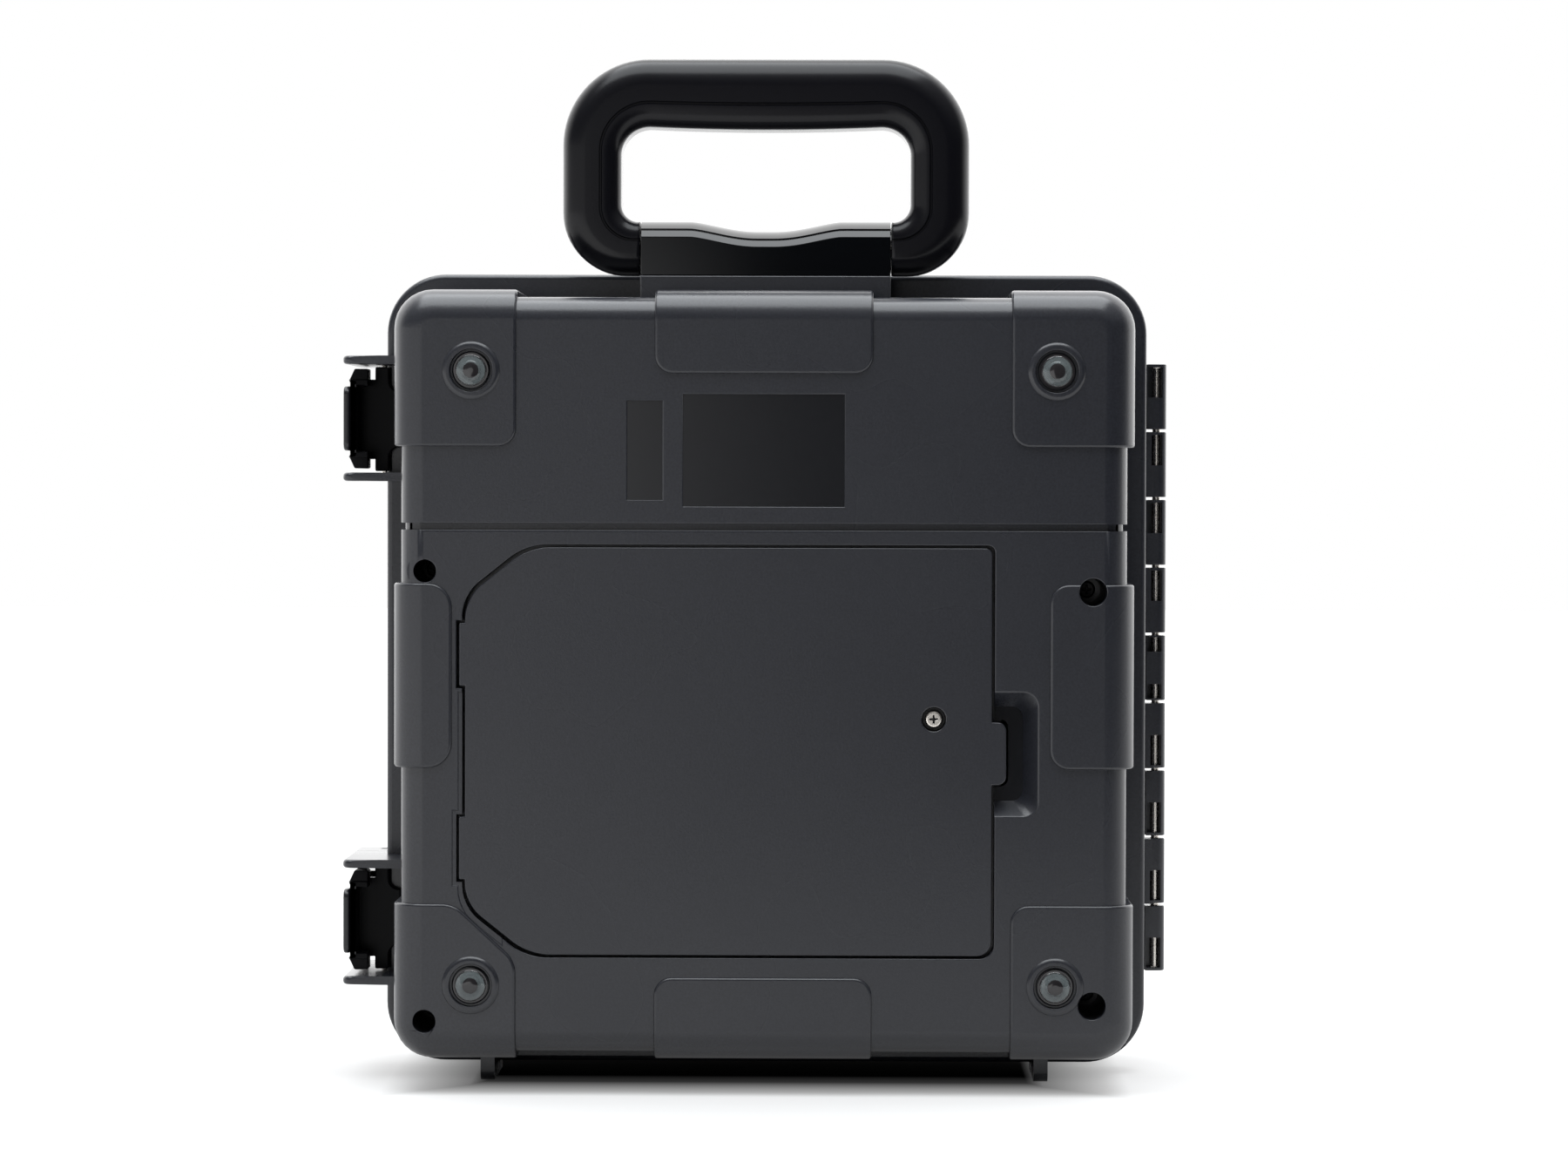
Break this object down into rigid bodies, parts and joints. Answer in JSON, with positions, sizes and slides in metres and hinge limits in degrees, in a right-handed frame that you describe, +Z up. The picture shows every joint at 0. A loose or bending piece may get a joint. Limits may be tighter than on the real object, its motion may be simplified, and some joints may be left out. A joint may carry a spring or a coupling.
{
  "type": "test instrument case",
  "caption": "Hard plastic carrying case with a test instrument in its base, hinged lid, snap latches, folding handle and a battery door in the back.",
  "frame": {"origin": "bottom centre of the whole case as it stands on its two fins, handle up", "axes": "+Z up, -Y the back of the base with the battery door, +Y the lid, -X the latches, +X the long hinge"},
  "size_m": [0.2602, 0.1216, 0.3199],
  "materials": {
    "charcoal_shell": "fine matte grain",
    "seal_rubber": "matte",
    "steel": "bright nickel",
    "cell_wrap": "plain printed wrap, unmarked",
    "clear_foot": "clear soft dome",
    "soft_handle": "soft satin",
    "gloss_black": "polished",
    "latch_black": "satin",
    "inner_black": "satin",
    "panel_grey": "fine grain",
    "display_glass": "clear",
    "display_face": "blank liquid crystal",
    "board_green": "solder mask",
    "knob_black": "satin",
    "button_red": "satin",
    "key_grey": "satin",
    "terminal_red": "satin",
    "terminal_black": "satin"
  },
  "bodies": {
    "base": {"base_shell": "charcoal_shell", "lid_gasket": "seal_rubber", "hinge_pin": "steel", "case_screw_1": "steel", "case_screw_2": "steel", "case_screw_3": "steel", "case_screw_4": "steel", "rubber_foot_1": "clear_foot", "rubber_foot_2": "clear_foot", "rubber_foot_3": "clear_foot", "rubber_foot_4": "clear_foot", "handle_bracket": "gloss_black", "handle_pin": "steel", "battery_holder": "inner_black", "battery_cell_1": "cell_wrap", "battery_cell_2": "cell_wrap", "battery_cell_3": "cell_wrap", "battery_cell_4": "cell_wrap", "battery_cell_5": "cell_wrap", "battery_cell_6": "cell_wrap", "battery_cell_7": "cell_wrap", "battery_cell_8": "cell_wrap", "battery_contact_1": "steel", "battery_contact_2": "steel", "battery_contact_3": "steel", "battery_contact_4": "steel", "front_panel": "panel_grey", "display_window": "display_glass", "display_module": "display_face", "main_board": "board_green", "selector_switch": "inner_black", "terminal_1": "terminal_red", "terminal_2": "terminal_black", "terminal_3": "terminal_black"},
    "lid": {"lid_shell": "charcoal_shell", "latch_pin_upper": "steel", "latch_pin_lower": "steel"},
    "latch_upper": {"latch_lever_upper": "latch_black"},
    "latch_lower": {"latch_lever_lower": "latch_black"},
    "cover": {"battery_cover": "charcoal_shell", "battery_cover_screw": "steel"},
    "handle": {"handle_loop": "soft_handle"},
    "knob": {"selector_knob": "knob_black", "selector_shaft": "steel"},
    "button": {"test_button": "button_red"},
    "key_1": {"panel_key_1": "key_grey"},
    "key_2": {"panel_key_2": "key_grey"},
    "key_3": {"panel_key_3": "key_grey"},
    "key_4": {"panel_key_4": "key_grey"}
  },
  "joints": [
    {"name": "lid_hinge", "type": "hinge", "parent": "base", "child": "lid", "pos_m": [0.12685, 0.01125, 0.12855], "axis": [0, 0, -1], "range_deg": [0, 180]},
    {"name": "latch_upper_swing", "type": "hinge", "parent": "lid", "child": "latch_upper", "pos_m": [-0.12085, 0.0214, 0.20755], "axis": [0, 0, -1], "range_deg": [0, 105]},
    {"name": "latch_lower_swing", "type": "hinge", "parent": "lid", "child": "latch_lower", "pos_m": [-0.12085, 0.0214, 0.04955], "axis": [0, 0, -1], "range_deg": [0, 105]},
    {"name": "handle_fold", "type": "hinge", "parent": "base", "child": "handle", "pos_m": [0.0023, -0.01875, 0.2606], "axis": [1, 0, 0], "range_deg": [-70, 90]},
    {"name": "cover_hinge", "type": "hinge", "parent": "base", "child": "cover", "pos_m": [-0.09, -0.05775, 0.10535], "axis": [0, 0, -1], "range_deg": [0, 75]},
    {"name": "knob_turn", "type": "hinge", "parent": "base", "child": "knob", "pos_m": [0.0023, 0.00325, 0.09805], "axis": [0, 1, 0], "range_deg": [-120, 120]},
    {"name": "button_press", "type": "slide", "parent": "base", "child": "button", "axis": [0, -1, 0], "range_m": [0, 0.003], "stiffness_N_per_m": 400},
    {"name": "key_1_press", "type": "slide", "parent": "base", "child": "key_1", "axis": [0, -1, 0], "range_m": [0, 0.001], "stiffness_N_per_m": 500},
    {"name": "key_2_press", "type": "slide", "parent": "base", "child": "key_2", "axis": [0, -1, 0], "range_m": [0, 0.001], "stiffness_N_per_m": 500},
    {"name": "key_3_press", "type": "slide", "parent": "base", "child": "key_3", "axis": [0, -1, 0], "range_m": [0, 0.001], "stiffness_N_per_m": 500},
    {"name": "key_4_press", "type": "slide", "parent": "base", "child": "key_4", "axis": [0, -1, 0], "range_m": [0, 0.001], "stiffness_N_per_m": 500}
  ]
}
